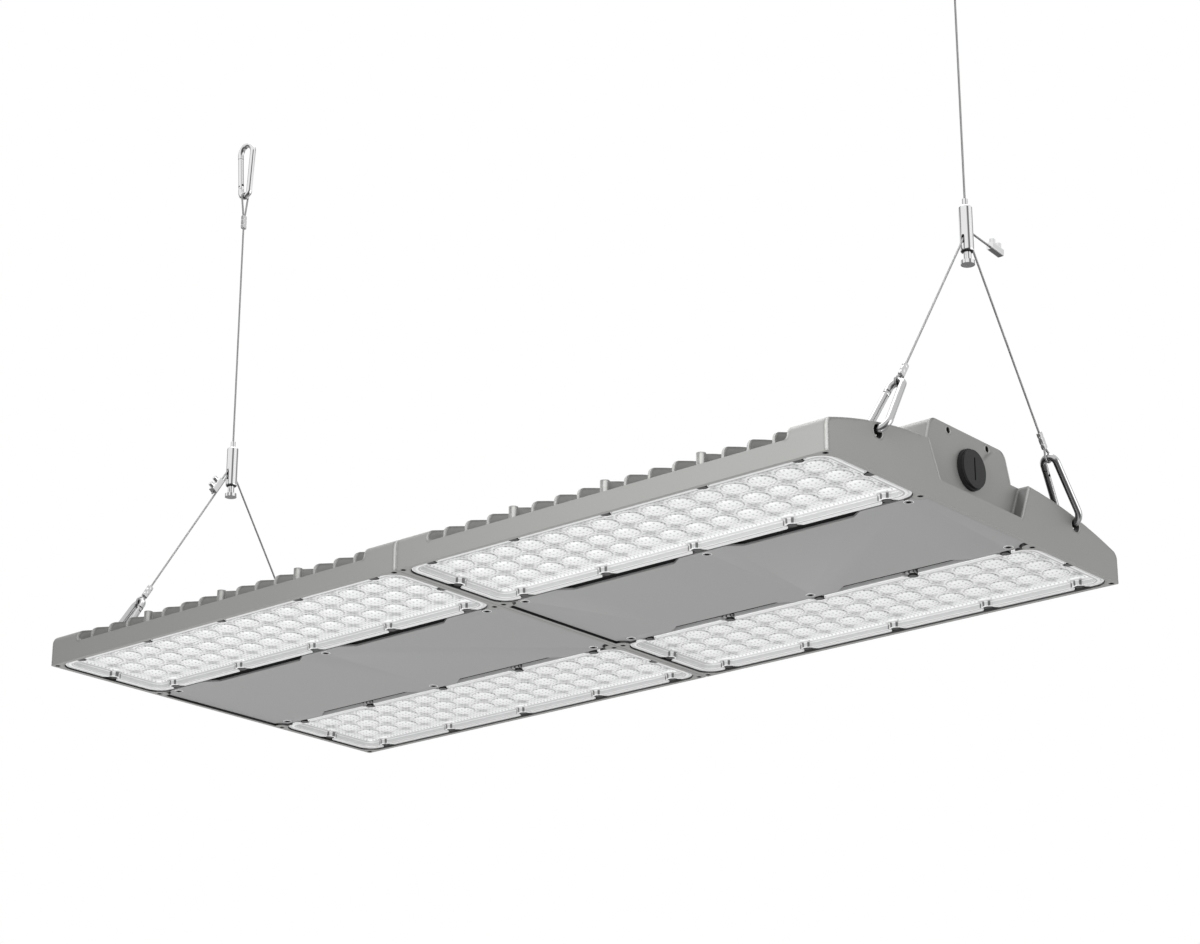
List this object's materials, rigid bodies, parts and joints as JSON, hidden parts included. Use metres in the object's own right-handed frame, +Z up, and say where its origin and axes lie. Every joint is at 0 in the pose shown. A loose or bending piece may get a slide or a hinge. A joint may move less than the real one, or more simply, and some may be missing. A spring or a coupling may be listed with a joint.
{
  "type": "high bay light",
  "caption": "Linear high bay light: finned die-cast housings end to end, clear lens panels below, hung on wires with grippers and snap hooks.",
  "frame": {"origin": "centre of the underside's rim plane, between the two modules", "axes": "+X along the light, +Z up, +Y across it; the hanging kits stand over both ends"},
  "size_m": [0.7024, 0.327, 0.4811],
  "materials": {
    "casting": "satin silver-grey powder coat on cast aluminium",
    "cover_plate": "satin grey coat on sheet",
    "lens": "clear moulding, looks near white over its board",
    "board": "white solder mask",
    "driver_case": "plain extruded case",
    "gasket": "matt",
    "black_plastic": "matt nylon",
    "bright_steel": "bright plated",
    "wire": "galvanised strand",
    "ferrule": "pressed",
    "screw_steel": "plated"
  },
  "bodies": {
    "lamp": {"blanking_plugs": "black_plastic", "ceiling_hooks": "bright_steel", "clamp_screws": "bright_steel", "cover_gaskets": "gasket", "cover_screws": "screw_steel", "driver_cover_left": "cover_plate", "driver_cover_right": "cover_plate", "driver_screws": "screw_steel", "ferrules": "ferrule", "gate_pins": "bright_steel", "gland_body": "black_plastic", "gland_insert": "gasket", "gland_nut": "black_plastic", "gripper_body_left": "bright_steel", "gripper_body_right": "bright_steel", "gripper_feet": "bright_steel", "housing_left": "casting", "housing_right": "casting", "joining_bolts": "screw_steel", "joining_nuts": "screw_steel", "joining_washers": "screw_steel", "lamp_hooks": "bright_steel", "led_board_left_back": "board", "led_board_left_front": "board", "led_board_right_back": "board", "led_board_right_front": "board", "led_driver_left": "driver_case", "led_driver_right": "driver_case", "leg_wire_left_back": "wire", "leg_wire_left_front": "wire", "leg_wire_right_back": "wire", "leg_wire_right_front": "wire", "lens_cover_left_back": "lens", "lens_cover_left_front": "lens", "lens_cover_right_back": "lens", "lens_cover_right_front": "lens", "lens_gaskets": "gasket", "lens_screws": "screw_steel", "link_conduit": "black_plastic", "lock_nuts": "black_plastic", "main_wire_left": "wire", "main_wire_right": "wire", "port_seals": "gasket", "tail_wire_left": "wire", "tail_wire_right": "wire", "terminal_block": "black_plastic", "wire_clamp_left": "bright_steel", "wire_clamp_right": "bright_steel", "wire_eyes": "wire"},
    "gate_right_front": {"gate_right_front": "bright_steel"},
    "gate_right_back": {"gate_right_back": "bright_steel"},
    "gate_right_ceiling": {"gate_right_ceiling": "bright_steel"},
    "gripper_plunger_right": {"gripper_plunger_right": "bright_steel"},
    "gate_left_back": {"gate_left_back": "bright_steel"},
    "gate_left_front": {"gate_left_front": "bright_steel"},
    "gate_left_ceiling": {"gate_left_ceiling": "bright_steel"},
    "gripper_plunger_left": {"gripper_plunger_left": "bright_steel"}
  },
  "joints": [
    {"name": "gate_right_front_hinge", "type": "hinge", "parent": "lamp", "child": "gate_right_front", "pos_m": [0.33642, -0.09059, 0.0581], "axis": [0, -0.8356, 0.5493], "range_deg": [0, 20], "stiffness_Nm_per_rad": 0.04, "springref_deg": -17.19},
    {"name": "gate_right_back_hinge", "type": "hinge", "parent": "lamp", "child": "gate_right_back", "pos_m": [0.33642, 0.09059, 0.0581], "axis": [0, -0.8356, -0.5493], "range_deg": [0, 20], "stiffness_Nm_per_rad": 0.04, "springref_deg": -17.19},
    {"name": "gate_right_ceiling_hinge", "type": "hinge", "parent": "lamp", "child": "gate_right_ceiling", "pos_m": [0.34678, 0, 0.44235], "axis": [0, -1, 0], "range_deg": [0, 20], "stiffness_Nm_per_rad": 0.04, "springref_deg": -17.19},
    {"name": "gripper_plunger_right_slide", "type": "slide", "parent": "lamp", "child": "gripper_plunger_right", "axis": [0, 0, -1], "range_m": [0, 0.0025], "stiffness_N_per_m": 800, "springref_m": -0.003},
    {"name": "gate_left_back_hinge", "type": "hinge", "parent": "lamp", "child": "gate_left_back", "pos_m": [-0.33642, 0.09059, 0.0581], "axis": [0, 0.8356, 0.5493], "range_deg": [0, 20], "stiffness_Nm_per_rad": 0.04, "springref_deg": -17.19},
    {"name": "gate_left_front_hinge", "type": "hinge", "parent": "lamp", "child": "gate_left_front", "pos_m": [-0.33642, -0.09059, 0.0581], "axis": [0, 0.8356, -0.5493], "range_deg": [0, 20], "stiffness_Nm_per_rad": 0.04, "springref_deg": -17.19},
    {"name": "gate_left_ceiling_hinge", "type": "hinge", "parent": "lamp", "child": "gate_left_ceiling", "pos_m": [-0.34678, 0, 0.44235], "axis": [0, 1, 0], "range_deg": [0, 20], "stiffness_Nm_per_rad": 0.04, "springref_deg": -17.19},
    {"name": "gripper_plunger_left_slide", "type": "slide", "parent": "lamp", "child": "gripper_plunger_left", "axis": [0, 0, -1], "range_m": [0, 0.0025], "stiffness_N_per_m": 800, "springref_m": -0.003}
  ]
}
